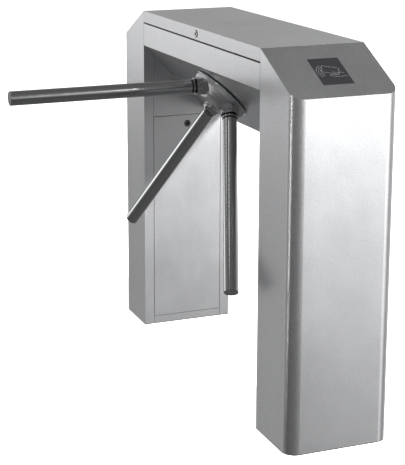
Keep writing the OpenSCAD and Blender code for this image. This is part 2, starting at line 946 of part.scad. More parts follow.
module far_casing() { leg_casing(1); }
module near_casing() { leg_casing(-1); }
module far_end_plate() { end_plate(1); }
module near_end_plate() { end_plate(-1); }
module far_reader_window() { reader_window(1); }
module near_reader_window() { reader_window(-1); }
module far_upper_plate() { upper_plate(1); }
module near_upper_plate() { upper_plate(-1); }
module far_door() { door(1); }
module near_door() { door(-1); }
module far_door_lock() { door_lock(1); }
module near_door_lock() { door_lock(-1); }
module far_lock_plug() { door_lock_plug(1); }
module near_lock_plug() { door_lock_plug(-1); }
module left_pawl() { pawl(1); }
module right_pawl() { pawl(-1); }
module left_plunger() { plunger(1); }
module right_plunger() { plunger(-1); }
module arm_1() { arm(0); }
module arm_2() { arm(1); }
module arm_3() { arm(2); }

module reader_modules() { color(black) for (side = [-1, 1]) reader_module(side); }
module sills() { color(steel) for (side = [-1, 1]) sill(side); }
module base_plates() { color(steel_dark) for (side = [-1, 1]) base_plate(side); }
module service_trays() { color(steel_dark) for (side = [-1, 1]) service_tray(side); }

far_casing();
near_casing();
far_end_plate();
near_end_plate();
far_reader_window();
near_reader_window();
reader_modules();
far_upper_plate();
near_upper_plate();
sills();
base_plates();
bridge_panel();
bridge_rear_panel();
lid_hinge_fixed();
lid_hinge_pins();
service_trays();
counter_board();
power_supply();
cable_duct();
mech_plate();
mech_studs();
bearing_housing();
shaft_bearings();
carrier_plate();
carrier_posts();
pawl_pivots();
solenoids();
solenoid_brackets();
damper_body();
position_sensors();
hub_disc();
hub_body();
hub_cap();
arm_collars();
arm_1();
arm_2();
arm_3();
arm_end_caps();
main_shaft();
shaft_nut();
index_wheel();
encoder_disc();
drive_gear();
damper_rotor();
left_pawl();
right_pawl();
left_plunger();
right_plunger();
lid();
lid_disc();
lid_lock();
lid_hinge_moving();
lid_lock_plug();
far_door();
near_door();
far_door_lock();
near_door_lock();
far_lock_plug();
near_lock_plug();
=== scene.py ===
"""Looks of the bridge tripod turnstile: materials, edge work, small fittings, light and camera.

Everything is in metres in the CAD frame: +Z up, +Y along the cabinet, visitors pass on the -X side.
"""
import json
import math

import bmesh
import bpy
from mathutils import Matrix, Vector


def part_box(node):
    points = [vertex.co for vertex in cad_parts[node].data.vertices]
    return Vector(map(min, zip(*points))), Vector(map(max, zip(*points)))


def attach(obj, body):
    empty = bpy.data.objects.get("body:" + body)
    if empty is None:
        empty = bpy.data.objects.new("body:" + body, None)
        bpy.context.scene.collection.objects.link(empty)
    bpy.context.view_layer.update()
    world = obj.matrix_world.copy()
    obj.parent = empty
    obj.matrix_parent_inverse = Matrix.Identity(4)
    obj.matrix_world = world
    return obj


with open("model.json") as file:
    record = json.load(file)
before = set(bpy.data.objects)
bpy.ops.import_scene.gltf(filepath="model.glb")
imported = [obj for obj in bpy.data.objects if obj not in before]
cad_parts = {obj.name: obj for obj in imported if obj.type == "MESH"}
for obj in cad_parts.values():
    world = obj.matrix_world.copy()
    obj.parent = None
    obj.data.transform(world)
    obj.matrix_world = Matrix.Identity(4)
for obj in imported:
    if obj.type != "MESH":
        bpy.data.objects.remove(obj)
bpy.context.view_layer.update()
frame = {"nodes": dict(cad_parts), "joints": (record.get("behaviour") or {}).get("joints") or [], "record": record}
nodes = frame["nodes"]


# ---------- materials ----------

# Near-black painted shade, for the shadow in the gaps where sheets meet and where the legs stand on the floor
SEAM_SHADE_BLACK = (0.02, 0.02, 0.022)
WHITE = (1.0, 1.0, 1.0)


class Shader:
    """A material being built, with short names for the few nodes that it needs."""

    def __init__(self, name, color, metallic, roughness):
        self.material = bpy.data.materials.new(name)
        self.material.use_nodes = True
        self.material.diffuse_color = (*color, 1.0)
        self.tree = self.material.node_tree
        self.bsdf = self.tree.nodes["Principled BSDF"]
        self.bsdf.inputs["Base Color"].default_value = (*color, 1.0)
        self.bsdf.inputs["Metallic"].default_value = metallic
        self.bsdf.inputs["Roughness"].default_value = roughness
        self.color = color
        self.coords = self.tree.nodes.new("ShaderNodeTexCoord").outputs["Object"]

    def node(self, kind, **settings):
        made = self.tree.nodes.new(kind)
        for key, value in settings.items():
            setattr(made, key, value)
        return made

    def link(self, source, target):
        self.tree.links.new(source, target)

    def noise(self, scale, detail=2.0, roughness=0.5, offset=(0.0, 0.0, 0.0)):
        """Noise in features a metre, the same along X, Y and Z unless each has its own scale."""
        mapping = self.node("ShaderNodeMapping")
        mapping.inputs["Scale"].default_value = (scale,) * 3 if isinstance(scale, float) else scale
        mapping.inputs["Location"].default_value = offset
        self.link(self.coords, mapping.inputs["Vector"])
        noise = self.node("ShaderNodeTexNoise")
        noise.inputs["Scale"].default_value = 1.0
        noise.inputs["Detail"].default_value = detail
        noise.inputs["Roughness"].default_value = roughness
        self.link(mapping.outputs["Vector"], noise.inputs["Vector"])
        return noise.outputs["Fac"]

    def spread(self, value, low, high, source=(0.3, 0.7)):
        """The value's middle range, stretched to run from low to high."""
        ramp = self.node("ShaderNodeMapRange")
        ramp.inputs["From Min"].default_value = source[0]
        ramp.inputs["From Max"].default_value = source[1]
        ramp.inputs["To Min"].default_value = low
        ramp.inputs["To Max"].default_value = high
        self.link(value, ramp.inputs["Value"])
        return ramp.outputs["Result"]

    def combine(self, a, b, operation="MULTIPLY"):
        made = self.node("ShaderNodeMath", operation=operation)
        for value, socket in ((a, made.inputs[0]), (b, made.inputs[1])):
            if isinstance(value, (int, float)):
                socket.default_value = value
            else:
                self.link(value, socket)
        return made.outputs["Value"]

    def tint(self, factor, dark, light):
        """Colours the surface from dark to light by factor, as shares of its own colour."""
        mix = self.node("ShaderNodeMix", data_type="RGBA")
        mix.inputs["A"].default_value = (*(c * dark for c in self.color), 1.0)
        mix.inputs["B"].default_value = (*(min(1.0, c * light) for c in self.color), 1.0)
        self.link(factor, mix.inputs["Factor"])
        self.link(mix.outputs["Result"], self.bsdf.inputs["Base Color"])

    def absolute(self, value):
        made = self.node("ShaderNodeMath", operation="ABSOLUTE")
        self.link(value, made.inputs[0])
        return made.outputs["Value"]

    def near(self, axis, place, width):
        """1 within width of a plane across axis at place, or at its mirror image for Y."""
        split = self.node("ShaderNodeSeparateXYZ")
        self.link(self.coords, split.inputs["Vector"])
        along = split.outputs[axis]
        if axis == "Y":
            along = self.absolute(along)
        return self.combine(self.absolute(self.combine(along, place, "SUBTRACT")), width, "LESS_THAN")

    def painted_seam_shade(self, *masks):
        """Darkens and dulls the surface where any mask is 1: painted shade, a near-black line standing in for the
        shadow in the gap where sheets meet.
        """
        mask = masks[0]
        for other in masks[1:]:
            mask = self.combine(mask, other, "MAXIMUM")
        keep = self.combine(1.0, mask, "SUBTRACT")
        links = self.bsdf.inputs["Base Color"].links
        mix = self.node("ShaderNodeMix", data_type="RGBA")
        mix.inputs["A"].default_value = (*SEAM_SHADE_BLACK, 1.0)
        self.link(links[0].from_socket, mix.inputs["B"])
        self.link(keep, mix.inputs["Factor"])
        self.link(mix.outputs["Result"], self.bsdf.inputs["Base Color"])

    def rough(self, value):
        self.link(value, self.bsdf.inputs["Roughness"])

    def bump(self, height, strength, distance):
        bump = self.node("ShaderNodeBump")
        bump.inputs["Strength"].default_value = strength
        bump.inputs["Distance"].default_value = distance
        self.link(height, bump.inputs["Height"])
        self.link(bump.outputs["Normal"], self.bsdf.inputs["Normal"])


def brushed(name, grain, color=(0.66, 0.665, 0.675), roughness=0.36, painted_seam_shade=()):
    """Satin stainless sheet, brushed along the grain axis, with lines of painted seam shade given as (axis, place,
    width).
    """
    shader = Shader(name, color, 1.0, roughness)
    across, along = 2600.0, 26.0
    fine = shader.noise([along if axis == grain else across for axis in "XYZ"], 3.0, 0.6)
    speck = shader.noise(260.0, 3.0, 0.65, (3.0, 8.0, 2.0))
    clouds = shader.noise((5.1, 4.7, 4.3), 4.0, 0.6, (4.0, 1.0, 7.0))
    lines = shader.combine(shader.combine(fine, 0.6), shader.combine(speck, 0.4), "ADD")
    base = shader.spread(lines, roughness - 0.03, roughness + 0.04)
    shader.rough(shader.combine(base, shader.spread(clouds, -0.012, 0.014), "ADD"))
    stain = shader.spread(clouds, -0.22, 0.22)
    shader.tint(shader.combine(shader.spread(speck, 0.0, 1.0, (0.36, 0.64)), stain, "ADD"), 0.92, 1.05)
    shader.bump(lines, 0.12, 0.0002)
    if painted_seam_shade:
        shader.painted_seam_shade(*(shader.near(*line) for line in painted_seam_shade))
    return shader.material


def polished(name, color=(0.80, 0.81, 0.82), roughness=0.07, ripple=0.04):
    """Mirror polished stainless with faint wipe marks and finger smudges."""
    shader = Shader(name, color, 1.0, roughness)
    wipes = shader.noise(60.0, 2.0, 0.6)
    smudges = shader.noise(17.0, 4.0, 0.6, (2.0, 5.0, 1.0))
    marks = shader.spread(smudges, 0.0, 0.03 + ripple, (0.52, 0.72))
    streaks = shader.spread(wipes, roughness - 0.4 * ripple, roughness + 0.5 * ripple)
    shader.rough(shader.combine(streaks, marks, "ADD"))
    shader.bump(wipes, ripple, 0.0004)
    return shader.material


def cast_metal(name, color, roughness):
    """Shot-blasted casting: a grainy skin, with a soft ripple that the finishing leaves."""
    shader = Shader(name, color, 1.0, roughness)
    ripple = shader.noise(45.0, 2.0, 0.5)
    grit = shader.noise(420.0, 3.0, 0.65, (1.0, 4.0, 9.0))
    shader.rough(shader.spread(ripple, roughness - 0.04, roughness + 0.05))
    shader.tint(shader.spread(grit, 0.0, 1.0, (0.36, 0.62)), 0.72, 1.12)
    shader.bump(shader.combine(ripple, shader.combine(grit, 0.5), "ADD"), 0.22, 0.0010)
    return shader.material


def machined(name, color, roughness, metallic=1.0):
    """Plain metal with a fine turned or rolled grain and light stains."""
    shader = Shader(name, color, metallic, roughness)
    grain = shader.noise((800.0, 120.0, 800.0), 2.0, 0.5)
    stains = shader.noise(22.0, 3.0, 0.6)
    shader.rough(shader.spread(grain, roughness - 0.06, roughness + 0.08))
    shader.tint(shader.spread(stains, 0.0, 1.0), 0.86, 1.04)
    shader.bump(grain, 0.12, 0.0003)
    return shader.material


def moulded(name, color, roughness, texture=1400.0):
    """Moulded plastic with a fine spark-eroded texture."""
    shader = Shader(name, color, 0.0, roughness)
    skin = shader.noise(texture, 2.0, 0.5)
    dust = shader.noise(14.0, 3.0, 0.6)
    shader.rough(shader.spread(skin, roughness - 0.05, roughness + 0.08))
    shader.tint(shader.spread(dust, 0.0, 1.0), 0.9, 1.12)
    shader.bump(skin, 0.2, 0.0003)
    return shader.material


def gloss_black(name):
    """Back-painted acrylic: deep black, glossy, with hairline scratches."""
    shader = Shader(name, (0.012, 0.012, 0.014), 0.0, 0.12)
    scratches = shader.noise((1300.0, 25.0, 60.0), 2.0, 0.5)
    haze = shader.noise(26.0, 3.0, 0.6)
    marks = shader.spread(scratches, 0.0, 0.08, (0.62, 0.8))
    shader.rough(shader.combine(shader.spread(haze, 0.08, 0.16), marks, "ADD"))
    shader.bsdf.inputs["Coat Weight"].default_value = 0.6
    shader.bsdf.inputs["Coat Roughness"].default_value = 0.05
    return shader.material


def circuit_green(name):
    """Solder mask over tracks that show as faint lighter lines."""
    shader = Shader(name, (0.02, 0.16, 0.08), 0.0, 0.35)
    tracks = shader.noise((210.0, 55.0, 210.0), 1.0, 0.4)
    shader.tint(shader.spread(tracks, 0.0, 1.0, (0.49, 0.51)), 0.8, 1.5)
    shader.rough(shader.spread(tracks, 0.28, 0.45))
    shader.bump(tracks, 0.2, 0.0001)
    return shader.material


# Where sheets meet, and half the width of the painted shade line there, which stands in for the shadow in the gap
LEG_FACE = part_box("far_casing")[0].y
LID_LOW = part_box("lid")[0].z
PANEL_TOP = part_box("bridge_panel")[1].z
SEAM_SHADE_HALF_WIDTH = 0.0016

# Painted shade lines: the one at Z = 0 is the shadow where the legs stand on the floor, the others the shadow in
# the gaps where sheets meet
STEEL_UP = brushed("steel_grain_up", "Z", roughness=0.33, painted_seam_shade=(("Z", 0.0, 0.0018),))
# The bridge's copy of the same steel is lighter than the legs': painted light for the brighter sheen on the bridge
# sides
STEEL_ALONG_LIGHTENED = brushed("steel_grain_along_lightened", "Y", (0.71, 0.715, 0.725),
                      painted_seam_shade=(("Y", LEG_FACE, SEAM_SHADE_HALF_WIDTH), ("Z", PANEL_TOP, SEAM_SHADE_HALF_WIDTH)))
STEEL_LID = brushed("steel_grain_lid", "Y", (0.65, 0.655, 0.665), painted_seam_shade=(("Z", LID_LOW, SEAM_SHADE_HALF_WIDTH),))
# The sloped end plates' copy of the same steel is darker: painted shade for the dark room above that they reflect
STEEL_SLOPE_DARKENED = brushed("steel_grain_slope_darkened", "X", (0.60, 0.605, 0.615))
STEEL_DISC = brushed("steel_disc", "X", (0.60, 0.605, 0.615), 0.40)
# The arms' polished steel is a darker copy of the trim's: painted shade that dims their reflections
ARM_STEEL_DARKENED = polished("arm_steel_darkened", (0.54, 0.545, 0.555), 0.09, 0.004)
TRIM_STEEL = polished("trim_steel", (0.78, 0.79, 0.80), 0.12)
HUB_METAL = cast_metal("hub_casting", (0.66, 0.665, 0.675), 0.40)
# Near-black rubber for the lid seal, and painted shade for the dark gap in each arm's neck
RUBBER_AND_GAP_SHADE = moulded("seal_rubber_and_gap_shade", (0.012, 0.012, 0.013), 0.7, 600.0)
WINDOW = gloss_black("reader_window_black")
PRINT = moulded("icon_print", (0.085, 0.087, 0.09), 0.5)
PLAIN = machined("inner_sheet", (0.42, 0.43, 0.44), 0.45)
ZINC = machined("zinc_plate", (0.62, 0.61, 0.50), 0.33)
WROUGHT = machined("gear_steel", (0.40, 0.40, 0.41), 0.30)
ALLOY = machined("alloy_housing", (0.62, 0.63, 0.64), 0.38)
BLACK = moulded("black_plastic", (0.02, 0.02, 0.022), 0.5)
COIL = moulded("coil_cover", (0.035, 0.04, 0.05), 0.45)
DUCT = moulded("duct_plastic", (0.45, 0.46, 0.47), 0.55)
BOARD = circuit_green("circuit_board")
LOCK_RIM = polished("lock_rim", (0.025, 0.025, 0.027), 0.22)
LOCK_CORE = machined("lock_core", (0.06, 0.06, 0.062), 0.22)
SCREW = machined("screw_steel", (0.45, 0.45, 0.46), 0.26)
DIGITS = moulded("counter_digits", (0.75, 0.09, 0.04), 0.35)

CAD_LOOKS = {
    STEEL_UP: ("far_casing", "near_casing", "far_upper_plate", "near_upper_plate", "far_door", "near_door",
               "sills"),
    STEEL_ALONG_LIGHTENED: ("bridge_panel", "bridge_rear_panel"),
    STEEL_LID: ("lid",),
    STEEL_SLOPE_DARKENED: ("far_end_plate", "near_end_plate"),
    STEEL_DISC: ("lid_disc",),
    ARM_STEEL_DARKENED: ("arm_1", "arm_2", "arm_3", "arm_end_caps", "arm_collars"),
    TRIM_STEEL: ("hub_disc", "hub_cap", "lid_hinge_pins", "lid_hinge_fixed", "lid_hinge_moving",
                 "left_plunger", "right_plunger", "pawl_pivots", "shaft_bearings", "main_shaft"),
    LOCK_RIM: ("lid_lock", "far_door_lock", "near_door_lock"),
    HUB_METAL: ("hub_body",),
    WINDOW: ("far_reader_window", "near_reader_window"),
    PLAIN: ("base_plates", "service_trays", "mech_plate", "carrier_plate", "solenoid_brackets",
            "power_supply"),
    ZINC: ("mech_studs", "carrier_posts", "shaft_nut", "damper_rotor"),
    WROUGHT: ("left_pawl", "right_pawl", "index_wheel", "drive_gear"),
    ALLOY: ("bearing_housing",),
    BLACK: ("reader_modules", "damper_body", "position_sensors", "encoder_disc"),
    COIL: ("solenoids",),
    DUCT: ("cable_duct",),
    BOARD: ("counter_board",),
    LOCK_CORE: ("lid_lock_plug", "far_lock_plug", "near_lock_plug"),
}


def paint(obj, material):
    obj.data.materials.clear()
    obj.data.materials.append(material)


def add_object(name, data):
    obj = bpy.data.objects.new(name, data)
    bpy.context.scene.collection.objects.link(obj)
    return obj


def soften(obj, width, segments=3, angle=30.0):
    """Rounds an object's sharp edges and shades the rest smooth."""
    bevel = obj.modifiers.new("edges", "BEVEL")
    bevel.width = width
    bevel.segments = segments
    bevel.limit_method = "ANGLE"
    bevel.angle_limit = math.radians(angle)
    bevel.harden_normals = True
    obj.data.polygons.foreach_set("use_smooth", [True] * len(obj.data.polygons))


for material, names in CAD_LOOKS.items():
    for name in names:
        paint(nodes[name], material)

SHEET_EDGE = 0.0008
SHEETS = ("far_casing", "near_casing", "far_end_plate", "near_end_plate", "far_upper_plate",
          "near_upper_plate", "far_door", "near_door", "bridge_panel", "bridge_rear_panel", "lid")
for name in SHEETS:
    soften(nodes[name], SHEET_EDGE)


# ---------- small fittings, as meshes ----------

def turned(profile, steps=32):
    """Shape of revolution about Z from (radius, height) points."""
    shape = bmesh.new()
    verts = [shape.verts.new((radius, 0.0, height)) for radius, height in profile]
    edges = [shape.edges.new(pair) for pair in zip(verts, verts[1:])]
    bmesh.ops.spin(shape, geom=verts + edges, cent=(0, 0, 0), axis=(0, 0, 1), angle=math.tau, steps=steps)
    bmesh.ops.remove_doubles(shape, verts=shape.verts, dist=1e-7)
    bmesh.ops.recalc_face_normals(shape, faces=shape.faces)
    return shape


def ring(inner, outer, low, high, chamfer=0.0003):
    """Flat ring about Z with its outer edges broken."""
    return turned([(inner, low), (outer - chamfer, low), (outer, low + chamfer), (outer, high - chamfer),
                   (outer - chamfer, high), (inner, high), (inner, low)], 48)


def prism(outline, low, high):
    """Upright prism on an outline of (x, y) points."""
    shape = bmesh.new()
    below, above = ([shape.verts.new((x, y, z)) for x, y in outline] for z in (low, high))
    shape.faces.new(below[::-1])
    shape.faces.new(above)
    for i in range(len(outline)):
        j = (i + 1) % len(outline)
        shape.faces.new((below[i], below[j], above[j], above[i]))
    bmesh.ops.recalc_face_normals(shape, faces=shape.faces)
    return shape


def block(size, chamfer):
    """Upright block, centred in X and Y on Z = 0, with its upright edges cut."""
    x, y, c = size[0] / 2, size[1] / 2, chamfer
    return prism([(x, c - y), (x, y - c), (x - c, y), (c - x, y), (-x, y - c), (-x, c - y), (c - x, -y),
                  (x - c, -y)], 0.0, size[2])


def stroke(points, width, thickness, closed=False):
    """Flat line through (x, y) points, standing on Z = 0."""
    shape = bmesh.new()
    count = len(points)
    sections = []
    for i, (x, y) in enumerate(points):
        before = points[i - 1] if closed or i > 0 else points[i]
        after = points[(i + 1) % count] if closed or i < count - 1 else points[i]
        way = Vector((after[0] - before[0], after[1] - before[1])).normalized() * width / 2
        corners = ((1, 0.0), (-1, 0.0), (-1, thickness), (1, thickness))
        sections.append([shape.verts.new((x - way.y * s, y + way.x * s, z)) for s, z in corners])
    pairs = list(zip(sections, sections[1:]))
    if closed:
        pairs.append((sections[-1], sections[0]))
    else:
        shape.faces.new(sections[0])
        shape.faces.new(sections[-1][::-1])
    for a, b in pairs:
        for k in range(4):
            shape.faces.new((a[k], a[(k + 1) % 4], b[(k + 1) % 4], b[k]))
    bmesh.ops.recalc_face_normals(shape, faces=shape.faces)
    return shape


def arc(centre, radius, start, end, steps=14):
    angles = [math.radians(start + (end - start) * i / steps) for i in range(steps + 1)]
    return [(centre[0] + radius * math.cos(a), centre[1] + radius * math.sin(a)) for a in angles]


def hexagon(radius):
    return [(radius * math.cos(k * math.pi / 3), radius * math.sin(k * math.pi / 3)) for k in range(6)]


def socket_screw(radius, height):
    """Screw head with a hexagon socket, standing on Z = 0."""
    chamfer, socket = radius * 0.15, radius * 0.55
    shape = turned([(0, 0), (radius, 0), (radius, height - chamfer), (radius - chamfer, height),
                    (socket, height), (socket, height * 0.4), (0, height * 0.35)], 36)
    for vert in shape.verts:
        if abs(vert.co.xy.length - socket) < 1e-5:
            turn = math.atan2(vert.co.y, vert.co.x) % (math.pi / 3) - math.pi / 6
            vert.co.xy = vert.co.xy * (math.cos(math.pi / 6) / math.cos(turn))
    return shape


def hex_bolt(radius, height):
    """Washer, hexagon head and its crown, as (shape, height above the seat)."""
    washer = height * 0.22
    return [(turned([(0, 0), (radius * 1.5, 0), (radius * 1.5, washer), (0, washer)]), 0.0),
            (prism(hexagon(radius), 0.0, height), washer),
            (turned([(0, 0), (radius * 0.84, 0), (radius * 0.7, height * 0.1), (0, height * 0.1)]),
             washer + height)]


def at(x, y, z):
    return Matrix.Translation((x, y, z))


def facing(place, outward, up=(0.0, 0.0, 1.0)):
    """Frame at a place whose Z points outward and whose Y is as near to up as it can be."""
    z = Vector(outward).normalized()
    x = Vector(up).cross(z).normalized()
    y = z.cross(x)
    turn = Matrix((x, y, z)).transposed().to_4x4()
    return at(*place) @ turn


def piece(name, parts, material, body, bevel=0.0):
    """One object made of (shape, place) parts, riding on a body."""
    whole = bmesh.new()
    for shape, place in parts:
        single = shape.copy()
        bmesh.ops.transform(single, matrix=place, verts=single.verts)
        carrier = bpy.data.meshes.new("carrier")
        single.to_mesh(carrier)
        single.free()
        whole.from_mesh(carrier)
        bpy.data.meshes.remove(carrier)
    mesh = bpy.data.meshes.new(name)
    whole.to_mesh(mesh)
    whole.free()
    obj = add_object(name, mesh)
    paint(obj, material)
    if bevel:
        soften(obj, bevel, 2)
    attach(obj, body)
    return obj


def middle(node):
    low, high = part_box(node)
    return (low + high) / 2


# ---------- reader pictograms ----------

ICON_SCALE = 0.00118
ICON_LINE_WIDTH = 0.0013
ICON_LINE_THICK = 0.00012


def card_strokes():
    """A hand that presents a card to three arcs, as lists of (points, closed), in metres."""
    card = []
    for cx, cy, start in ((15, 8, 0), (-15, 8, 90), (-15, -8, 180), (15, -8, 270)):
        card += arc((cx, cy), 3, start, start + 90, 5)
    tilt = math.radians(-20)
    card = [(x * math.cos(tilt) - y * math.sin(tilt) + 1, x * math.sin(tilt) + y * math.cos(tilt) + 4)
            for x, y in card]
    lines = [(card, True)]
    lines += [(arc((-10, 0), radius, 110, 235), False) for radius in (11, 16, 21)]
    thumb = [(2, -2), (8, -5), (14, -6), (20, -5), (27, -7)]
    palm = [(-6, -13), (0, -17), (8, -19), (17, -19), (25, -17), (31, -19)]
    finger = [(-6, -13), (-2, -11), (5, -12), (12, -13)]
    lines += [(thumb, False), (palm, False), (finger, False)]
    return [([(x * ICON_SCALE, y * ICON_SCALE) for x, y in points], closed) for points, closed in lines]


def build_icon(side, sign):
    """Prints the pictogram on a leg's reader window, upright for a visitor at that end."""
    window = nodes[side + "_reader_window"].data
    face = max(window.polygons, key=lambda polygon: polygon.normal.z * polygon.area)
    normal = face.normal.copy()
    front = [v.co for v in window.vertices if abs((v.co - face.center).dot(normal)) < 1e-5]
    centre = sum(front, Vector()) / len(front)
    upright = facing(centre, normal, (0.0, sign, 0.0))
    parts = [(stroke(points, ICON_LINE_WIDTH, ICON_LINE_THICK, closed), upright)
             for points, closed in card_strokes()]
    piece(side + "_reader_icon", parts, PRINT, "cabinet")


build_icon("near", 1.0)
build_icon("far", -1.0)


# ---------- tripod fittings ----------

turn_joint = next(joint for joint in frame["joints"] if joint["name"] == "tripod_turn")
AXIS = Vector(turn_joint["axis"]).normalized()
if AXIS.z > 0:
    AXIS = -AXIS
PIVOT = Vector(turn_joint["pos_m"])
ARM_HEIGHT = middle("arm_1").z
APEX = PIVOT + AXIS * ((ARM_HEIGHT - PIVOT.z) / AXIS.z)
ARM_START = APEX.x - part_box("arm_1")[1].x
NECK = 0.013
SOCKET_END = ARM_START - NECK
SOCKET_HW = 0.022
# The first arm's own frame: Z runs out along it, towards -X, and X points up
ALONG_ARM = Matrix(((0, 0, -1, 0), (0, 1, 0, 0), (1, 0, 0, 0), (0, 0, 0, 1)))
ARM_FRAMES = [at(*APEX) @ Matrix.Rotation(k * math.tau / 3, 4, AXIS) @ ALONG_ARM for k in range(3)]
# Near-black rings in each arm's neck: painted shade standing in for the shadow in the gap between socket and arm
GAP_SHADE_RINGS = ((0.0002, 0.0042), (0.0088, 0.0128))
SCREW_OFFSETS = (-0.0075, 0.0075)
SCREW_INSET = 0.0085

gap_shade_parts, screw_parts, boss_parts = [], [], []
for arm_frame in ARM_FRAMES:
    for low, high in GAP_SHADE_RINGS:
        gap_shade_parts.append((ring(0.0170, 0.0187, SOCKET_END + low, SOCKET_END + high), arm_frame))
    for side in (-1, 1):
        for x in SCREW_OFFSETS:
            seat = arm_frame @ at(x, side * SOCKET_HW, SOCKET_END - SCREW_INSET)
            seat = seat @ Matrix.Rotation(-side * math.pi / 2, 4, "X")
            boss_parts.append((ring(0.0045, 0.0062, 0.0, 0.0012), seat))
            screw_parts.append((socket_screw(0.0043, 0.0034), seat))
# Painted shade: the dark rings in the arms' neck gaps
piece("arm_gap_shade_rings", gap_shade_parts, RUBBER_AND_GAP_SHADE, "tripod")
piece("socket_screws", screw_parts, SCREW, "tripod")
piece("socket_screw_seats", boss_parts, HUB_METAL, "tripod")

HOUSING_BOLT_CIRCLE = 0.047
HOUSING_BOLT_SEAT = -0.018
axis_frame = facing(PIVOT, AXIS)


def on_housing(k, height):
    """Place on the kth bolt, which points back along the axis into the cabinet."""
    turn = Matrix.Rotation(k * math.tau / 6, 4, "Z")
    flip = Matrix.Rotation(math.pi, 4, "X")
    return axis_frame @ turn @ at(HOUSING_BOLT_CIRCLE, 0, HOUSING_BOLT_SEAT) @ flip @ at(0, 0, height)


housing = [(shape, on_housing(k, height)) for k in range(6) for shape, height in hex_bolt(0.0048, 0.004)]
piece("housing_bolts", housing, ZINC, "cabinet")


# ---------- locks, hinges and seals ----------

def build_bezel(lock, outward, body):
    """Bright ring round a lock's plug, on the face of its rim."""
    low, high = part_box(lock)
    way = Vector(outward)
    centre = middle(lock)
    reach = max((Vector(corner) - centre).dot(way) for corner in (low, high))
    place = facing(centre + way * reach, way)
    piece(lock + "_bezel", [(ring(0.0063, 0.0080, -0.0002, 0.0004, 0.0002), place)], TRIM_STEEL, body)


build_bezel("lid_lock", (-1, 0, 0), "lid")
build_bezel("far_door_lock", (0, -1, 0), "far_door")
build_bezel("near_door_lock", (0, 1, 0), "near_door")


HINGE_LEAF = 0.0015
LEAF_INSET = 0.03
SCREW_ROW = (-0.022, -0.007, 0.007, 0.022)


def hinge_screws(node, body, margin):
    """Screws in the three leaves of one hinge half, on the +X face."""
    low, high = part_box(node)
    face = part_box("bridge_rear_panel")[1].x + HINGE_LEAF
    height = low.z + margin if node == "lid_hinge_fixed" else high.z - margin
    leaves = (low.y + LEAF_INSET, 0.0, high.y - LEAF_INSET)
    parts = [(socket_screw(0.0029, 0.0012), facing((face, y + along, height), (1, 0, 0)))
             for y in leaves for along in SCREW_ROW]
    piece(node + "_screws", parts, SCREW, body)


hinge_screws("lid_hinge_fixed", "cabinet", 0.008)
hinge_screws("lid_hinge_moving", "lid", 0.007)

panel_low, panel_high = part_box("bridge_panel")
SEAL = [(0.0, 0.0), (0.007, 0.0), (0.0066, 0.0009), (0.005, 0.0013), (0.002, 0.0013), (0.0004, 0.0009)]
SEAL_INSET = 0.004
# The seal lies along Y on the panel's top edge, in two runs that leave the lock's notch free
SEAL_RUNS = ((panel_low.y + SEAL_INSET, -0.032), (0.012, panel_high.y - SEAL_INSET))
on_panel = Matrix(((1, 0, 0, panel_low.x + 0.0045), (0, 0, 1, 0), (0, 1, 0, panel_high.z), (0, 0, 0, 1)))
seal_parts = [(prism(SEAL, start, end), on_panel) for start, end in SEAL_RUNS]
piece("lid_seal", seal_parts, RUBBER_AND_GAP_SHADE, "cabinet")


# ---------- anchors and electronics ----------

anchor = next(mount for mount in frame["record"]["mounts"] if mount["name"] == "floor_anchors")
spacing = (anchor["dims"]["spacing_x_mm"] / 2000, anchor["dims"]["spacing_y_mm"] / 2000)
base_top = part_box("base_plates")[1].z
anchors = [(shape, at(sx * spacing[0], sy * spacing[1], base_top + height))
           for sx in (-1, 1) for sy in (-1, 1) for shape, height in hex_bolt(0.0095, 0.008)]
piece("anchor_bolts", anchors, ZINC, "cabinet", 0.0003)

board_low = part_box("counter_board")[0]
BOARD_RISE = 0.0096
board_top = board_low.z + BOARD_RISE


def on_board(x, y, z=0.0):
    return at(board_low.x + x, board_low.y + y, board_top + z)


can = turned([(0, 0), (0.0048, 0), (0.0048, 0.0012), (0.0044, 0.0016), (0.0048, 0.0021), (0.0048, 0.0122),
              (0.0042, 0.0128), (0, 0.0126)])
CAN_SPOTS = ((0.033, 0.018), (0.046, 0.018), (0.030, 0.132))
piece("board_capacitors", [(can, on_board(x, y)) for x, y in CAN_SPOTS], COIL, "cabinet")

PIN_PITCH = 0.00254
pins = [(block((0.0006, 0.0006, 0.0085), 0.0001), on_board(0.052 + i * PIN_PITCH, 0.140 + j * PIN_PITCH))
        for i in range(8) for j in range(2)]
piece("board_pins", pins, ZINC, "cabinet")
piece("board_header", [(block((0.022, 0.0058, 0.0025), 0.0004), on_board(0.0609, 0.1413))], BLACK, "cabinet",
      0.0002)

SEGMENTS = {"a": (0, 1), "b": (1, 0.5), "c": (1, -0.5), "d": (0, -1), "e": (-1, -0.5), "f": (-1, 0.5),
            "g": (0, 0)}
LIT = {"0": "abcdef", "1": "bc", "2": "abged", "8": "abcdefg"}
DIGIT_HALF = (0.0026, 0.0047)
DIGIT_STEP = 0.0088


def digit(character):
    """Seven-segment strokes of one figure, centred on the origin."""
    strokes = []
    for name in LIT[character]:
        across, along = SEGMENTS[name]
        x, y = across * DIGIT_HALF[0], along * DIGIT_HALF[1]
        half = DIGIT_HALF[0] * 0.78 if across == 0 else DIGIT_HALF[1] * 0.40
        ends = [(x - half, y), (x + half, y)] if across == 0 else [(x, y - half), (x, y + half)]
        strokes.append(stroke(ends, 0.0010, 0.0002))
    return strokes


